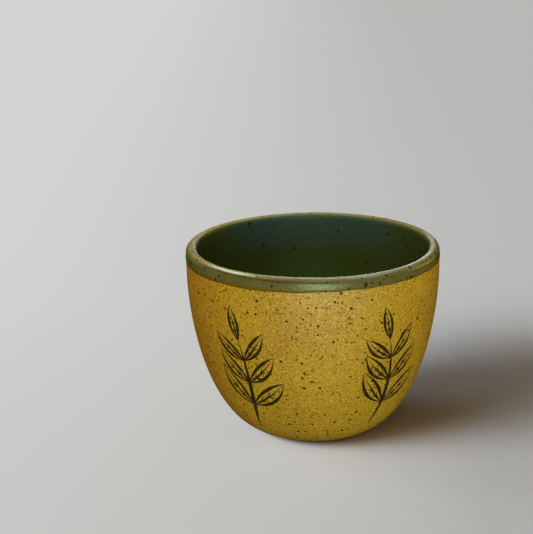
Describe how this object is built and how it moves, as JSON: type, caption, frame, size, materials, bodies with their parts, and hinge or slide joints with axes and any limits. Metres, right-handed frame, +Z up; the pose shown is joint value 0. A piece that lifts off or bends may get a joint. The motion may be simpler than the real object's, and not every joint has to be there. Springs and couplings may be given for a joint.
{
  "type": "garlic bowl",
  "caption": "Round-bellied stoneware bowl with an upright wall, rounded glazed lip and small trimmed foot, for keeping garlic bulbs and cloves on a counter.",
  "frame": {"origin": "middle of the foot ring, on the surface that the bowl stands on", "axes": "+Z up along the bowl's axis towards its mouth, -Y towards the front, between two leaf sprigs"},
  "size_m": [0.1154, 0.1154, 0.0875],
  "materials": {
    "stoneware": "bare fired speckled clay",
    "yellow_glaze": "satin-matte mustard glaze with iron speckle",
    "olive_rim_glaze": "glossy olive glaze, thin over the lip",
    "green_liner_glaze": "glossy dark green glaze",
    "dark_slip": "brushed dark olive slip"
  },
  "bodies": {
    "root": {"stoneware_body": "stoneware", "outer_glaze": "yellow_glaze", "rim_glaze": "olive_rim_glaze", "liner_glaze": "green_liner_glaze", "leaf_sprigs": "dark_slip"}
  },
  "joints": []
}
